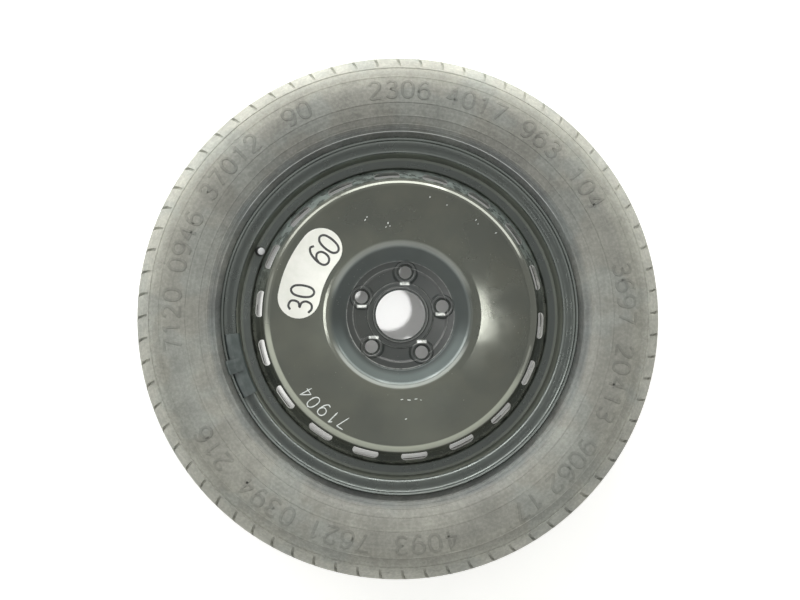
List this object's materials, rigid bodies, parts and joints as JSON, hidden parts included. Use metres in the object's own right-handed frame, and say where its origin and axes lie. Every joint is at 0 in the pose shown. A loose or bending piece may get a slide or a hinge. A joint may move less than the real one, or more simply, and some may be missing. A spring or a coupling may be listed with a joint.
{
  "type": "spare tyre",
  "caption": "Temporary-use spare tyre on a black pressed-steel wheel with a vented disc, hub recess, snap-in valve and clip-on balance weight.",
  "frame": {"origin": "on the wheel's axis, at the surface the tyre lies on with its inboard side", "axes": "+Z along the wheel's axis, out of the outboard face; +X and +Y across the wheel, the valve lies 155.6 degrees from +X towards +Y"},
  "size_m": [0.7108, 0.7108, 0.155],
  "materials": {
    "tyre": "matte, faded rubber",
    "wheel_paint": "gloss black dip paint with dust",
    "valve_rubber": "satin rubber",
    "brass": "turned",
    "seal": "smooth",
    "spring_steel": "plain",
    "cap_plastic": "fine grain",
    "weight_metal": "coated, dull",
    "label": "printed film"
  },
  "bodies": {
    "wheel": {"tyre": "tyre", "rim": "wheel_paint", "disc": "wheel_paint", "weld_seams": "wheel_paint", "valve_body": "valve_rubber", "valve_stem": "brass", "core_plug": "brass", "core_barrel": "brass", "barrel_seal": "seal", "core_spring": "spring_steel", "balance_weight": "weight_metal", "weight_clip": "spring_steel", "label": "label"},
    "cap": {"valve_cap": "cap_plastic"},
    "pin": {"core_pin": "brass", "core_cup": "brass", "cup_gasket": "valve_rubber"}
  },
  "joints": [
    {"name": "cap_unscrew", "type": "slide", "parent": "wheel", "child": "cap", "axis": [0.2326, -0.1055, 0.9668], "range_m": [0, 0.01]},
    {"name": "pin_press", "type": "slide", "parent": "wheel", "child": "pin", "axis": [-0.2326, 0.1055, -0.9668], "range_m": [0, 0.0012], "stiffness_N_per_m": 300, "springref_m": -0.002, "deforming": ["core_spring"]}
  ]
}
